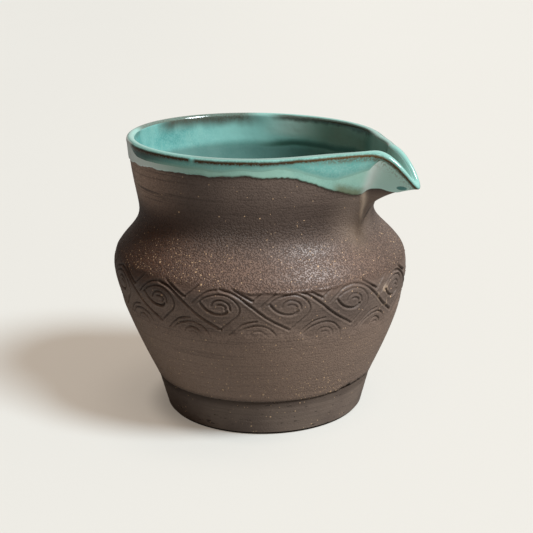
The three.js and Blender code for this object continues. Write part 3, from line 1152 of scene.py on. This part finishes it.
def turquoise_rim_glaze():
    """Turquoise, with a painted dark reflection and a painted pale reflection at the left, and an uneven
    brown line on the edge of the lip.
    """
    made, tree, shader, place = new_material("turquoise_rim_glaze")
    above = attribute(tree, "above_edge")
    over = attribute(tree, "over_lip")
    drift, runs, flecks, pinholes, ripple, turn = effect(glaze_group, {"Place": place})
    by_beak = turn.math("ABSOLUTE").ease(0.85, 0.3)
    # Painted reflection: a dark patch at the left, where the glaze mirrors a dark room.
    painted_dark_reflection = turn.ease(radians(-129), radians(-122)) * turn.ease(radians(-84), radians(-116))
    lower_edge = (above + sway(flecks, 0.6)).ease(1.3 * mm, 0.1 * mm) * turn.ease(-2.2, -1.6)
    centre = between(turn, -150, -80, 15) * 0.1 * mm + by_beak * 0.05 * mm + 0.1 * mm
    uneven = over - centre + sway(drift, 0.9) + sway(runs, 0.3) + sway(flecks, 0.7)
    unbroken = (1 - between(turn, -85.3, -83.3, 1.2)) * (1 - between(turn, -165, -127, 3) * 0.85)
    line = uneven.bell(0.72 * mm - by_beak * 0.12 * mm) * unbroken * (flecks * 0.6 + 0.75)
    back_line = (over + sway(drift, 1)).ease(0.2 * mm, 1.2 * mm) * behind_beak(turn)
    thinned = (over + 0.7 * mm + sway(drift, 1)).bell(0.9 * mm) * flecks.ease(0.25, 0.6) * by_beak
    brown = line.most(back_line * 0.8).most(thinned * 0.75).least(1.0)
    tone = painted(
        clouded(drift, flecks, 0.4, 0x6FB2A8, 0x84BFB4),
        (painted_dark_reflection * over.ease(0.3 * mm, -0.5 * mm) * 0.92, 0x23473F),
        # Painted reflection: the lip at the left is painted near white.
        (between(turn, -168, -127, 3) * over.ease(1.6 * mm, 0.6 * mm) * 0.95, 0xEEF3EC),
        (lower_edge, 0x8FBAAA),
        (over.ease(0.9 * mm, 1.5 * mm) * 0.8, 0x8AA59B),
    )
    tone = mixed(brown, tone, mixed(by_beak, paint(0x432E17), paint(0x5E4526)))
    finish_glaze(shader, tone, drift, pinholes, ripple)
    return made


second_edge = hanging_edge(second_hang) + second_sway * wander(coat_angles, waves=24, seed=8)
second_end_lift = second_under + second_thinnest
second_rings = coat_rings(
    second_edge, second_under, second_lift, second_lip_end, second_end_lift, second_rows, second_lip_rows
)
second = turned_piece("rim_glaze_turquoise_coat", second_rings, loop=True)
shaped(second, pull_tree, pull_sizes, turquoise_rim_glaze())
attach(second, "root")
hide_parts("rim_glaze_second_coat")


# Floor and light: a pale plain table top, one large soft lamp high up at the right and a little in
# front, and the warm light that a pale ceiling gives back.
camera_turn = Matrix.Rotation(radians(35), 4, "Z")
camera_right = camera_turn.col[0]
camera_ahead = camera_turn.col[1]
floor_reach = 12
lamp_azimuth = radians(30.5)
lamp_elevation = radians(50.5)
lamp_spread = radians(18.5)


def seen_by(tree, *paths):
    """One for light paths of the given kinds, and nothing for all others."""
    path = tree.nodes.new("ShaderNodeLightPath")
    seen = Field(path.outputs[paths[0]])
    for other in paths[1:]:
        seen = seen.most(path.outputs[other])
    return seen


def toward(way, x, y):
    """How far a level place lies along a way."""
    return x * way[0] + y * way[1]


def floor_paint():
    """Matt pale paint with a warm glow of its own for the camera, and painted shade round the foot and
    towards the left. What the glaze mirrors of it is nearly dark."""
    made, tree, shader, place = new_material("floor_paint")
    x, y, _ = axes_of(place)
    seen = seen_by(tree, "Is Camera Ray", "Is Transmission Ray")
    mirrored = seen_by(tree, "Is Glossy Ray")
    colour = mixed(noise(place, scale=3.0), (0.342, 0.357, 0.352, 1), (0.354, 0.369, 0.364, 1))
    colour = mixed(mirrored * 0.85, colour, (0.05, 0.045, 0.04, 1))
    left = -toward(camera_right, x, y)
    away = (x * x + y * y).math("SQRT")
    # Painted shade: the glow is dimmed close round the foot, more at the left, and darker towards the left.
    painted_contact_shade = away.ease(44 * mm, 33 * mm) * (left.ease(-0.02, 0.03) * 0.35 + 0.06)
    near = away.ease(70 * mm, 36 * mm) * (left.ease(-0.03, 0.05) * 0.15 + 0.02)
    painted_shade = painted_contact_shade + near + left.ease(-0.15, 0.25) * 0.11 - 0.055
    glow = add_node(tree, "ShaderNodeEmission", {
        "Color": (0.4, 0.35, 0.295, 1), "Strength": seen * (1 - painted_shade) + mirrored * 0.15,
    })
    both = add_node(tree, "ShaderNodeAddShader", {0: shader, 1: glow})
    feed_all(shader, {"Base Color": colour, "Roughness": 0.9, "Specular IOR Level": 0.1})
    feed(tree.nodes["Material Output"].inputs["Surface"], both)
    return made


floor_corners = [(x * floor_reach, y * floor_reach, 0) for x, y in ((-1, -1), (1, -1), (1, 1), (-1, 1))]
floor_mesh = bpy.data.meshes.new("floor")
floor_mesh.from_pydata(floor_corners, [], [(0, 1, 2, 3)])
floor_mesh.materials.append(floor_paint())
floor = in_scene("floor", floor_mesh)

lamp_way = camera_turn @ Vector((
    cos(lamp_azimuth) * cos(lamp_elevation),
    -sin(lamp_azimuth) * cos(lamp_elevation),
    sin(lamp_elevation),
))
lamp_data = bpy.data.lights.new("soft_lamp", "SUN")
lamp_data.angle = lamp_spread
lamp_data.energy = 5
lamp_data.color = (0.857, 0.945, 1)
lamp = in_scene("soft_lamp", lamp_data)
lamp.rotation_mode = "QUATERNION"
lamp.rotation_quaternion = lamp_way.to_track_quat("Z", "Y")


def room_light():
    """A room that is pale and even to the camera, lights the pot warmly from above and from the lamp's
    side, and is brighter behind the pot in what the glaze mirrors."""
    made = bpy.data.worlds.new("room")
    made.use_nodes = True
    tree = made.node_tree
    x, y, up = axes_of(tree.nodes.new("ShaderNodeTexCoord").outputs["Generated"])
    seen = seen_by(tree, "Is Camera Ray", "Is Transmission Ray")
    mirrored = seen_by(tree, "Is Glossy Ray")
    above = up.most(0.0)
    lamp_side = toward(lamp_way, x, y)
    left = -toward(camera_right, x, y)
    behind = toward(camera_ahead, x, y).most(0.0) * (0.75 - left.ease(0.15, 0.55) * 0.6)
    mirror = (above * 0.3 + lamp_side * 0.4 + behind + 0.12).most(0.05)
    glow = (above * 0.36 + lamp_side * 0.24 + 0.02).most(0.0)
    plain = (1 - seen) * (1 - mirrored)
    feed_all(tree.nodes["Background"], {
        "Color": mixed(seen + mirrored, (1, 0.7, 0.5, 1), paint(0xF3F0E9)),
        "Strength": seen * 0.9 + mirrored * mirror + plain * glow,
    })
    return made


bpy.context.scene.world = room_light()


# Camera: the photograph's view, from above and in front, with the beak to the right. Its place, tilt
# and focal length were fitted to the pot's outline there.
camera_place = Vector((0.001223, -0.425152, 0.179401))
camera_pitch = radians(17.22)
camera_roll = radians(-0.766)
focal_pixels = 1292.6
image_width = 533
camera_data = bpy.data.cameras.new("camera")
camera_data.sensor_width = 36
camera_data.lens = focal_pixels / image_width * camera_data.sensor_width
camera_data.clip_start = 0.01
camera = in_scene("camera", camera_data)
camera.matrix_world = (
    camera_turn
    @ Matrix.Translation(camera_place)
    @ Matrix.Rotation(pi / 2 - camera_pitch, 4, "X")
    @ Matrix.Rotation(camera_roll, 4, "Z")
)
bpy.context.scene.camera = camera
bpy.context.scene.view_settings.view_transform = "Standard"
